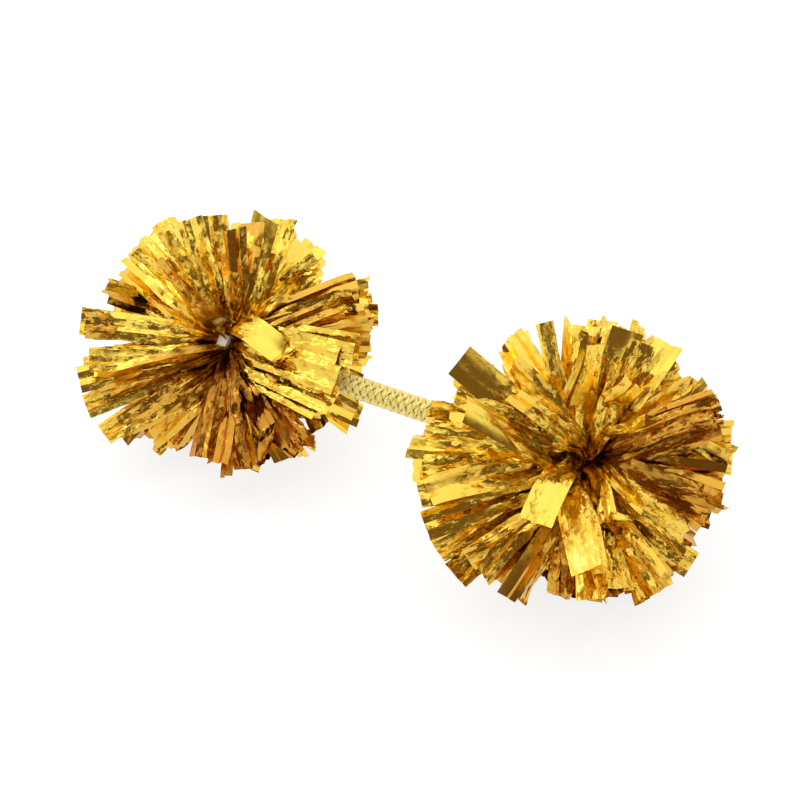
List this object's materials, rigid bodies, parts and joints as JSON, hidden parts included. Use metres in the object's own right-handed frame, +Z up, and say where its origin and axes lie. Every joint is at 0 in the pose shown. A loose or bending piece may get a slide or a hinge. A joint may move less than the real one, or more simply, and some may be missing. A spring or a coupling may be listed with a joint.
{
  "type": "double-headed cheer pom pom",
  "caption": "Two full balls of slit metallic gold film on the ends of a short braided cord handle, shaken by hand in cheerleading routines.",
  "frame": {"origin": "centre of the bounding box's bottom face, on the floor under the middle of the cord", "axes": "+X along the cord to the right head, +Y to the back, +Z up"},
  "size_m": [0.43, 0.1898, 0.1429],
  "materials": {
    "foil": "mirror-metallised gold polyester film, crinkled",
    "braid": "flat metallic gold yarn, tubular braid",
    "filler": "twisted textile filler",
    "crimp": "pressed sheet brass, satin",
    "tie": "natural white nylon"
  },
  "bodies": {
    "handle": {"middle_sleeve": "braid", "middle_core": "filler"},
    "left_link": {"left_link_sleeve": "braid", "left_link_core": "filler"},
    "left_head": {"left_end_sleeve": "braid", "left_end_core": "filler", "left_crimp_cap": "crimp", "left_cable_tie": "tie", "left_foil_layer_1": "foil", "left_foil_layer_2": "foil", "left_foil_layer_3": "foil", "left_foil_layer_4": "foil", "left_foil_layer_5": "foil", "left_foil_layer_6": "foil", "left_foil_layer_7": "foil", "left_foil_layer_8": "foil"},
    "right_link": {"right_link_sleeve": "braid", "right_link_core": "filler"},
    "right_head": {"right_end_sleeve": "braid", "right_end_core": "filler", "right_crimp_cap": "crimp", "right_cable_tie": "tie", "right_foil_layer_1": "foil", "right_foil_layer_2": "foil", "right_foil_layer_3": "foil", "right_foil_layer_4": "foil", "right_foil_layer_5": "foil", "right_foil_layer_6": "foil", "right_foil_layer_7": "foil", "right_foil_layer_8": "foil"}
  },
  "joints": [
    {"name": "left_bend_up_down", "type": "hinge", "parent": "handle", "child": "left_link", "pos_m": [-0.01, 0, 0.068], "axis": [0, 1, 0], "range_deg": [-25, 25], "stiffness_Nm_per_rad": 1},
    {"name": "left_bend_sideways", "type": "hinge", "parent": "left_link", "child": "left_head", "pos_m": [-0.022, 0, 0.068], "axis": [0, 0, 1], "range_deg": [-25, 25], "stiffness_Nm_per_rad": 1},
    {"name": "right_bend_up_down", "type": "hinge", "parent": "handle", "child": "right_link", "pos_m": [0.01, 0, 0.068], "axis": [0, 1, 0], "range_deg": [-25, 25], "stiffness_Nm_per_rad": 1},
    {"name": "right_bend_sideways", "type": "hinge", "parent": "right_link", "child": "right_head", "pos_m": [0.022, 0, 0.068], "axis": [0, 0, 1], "range_deg": [-25, 25], "stiffness_Nm_per_rad": 1}
  ]
}
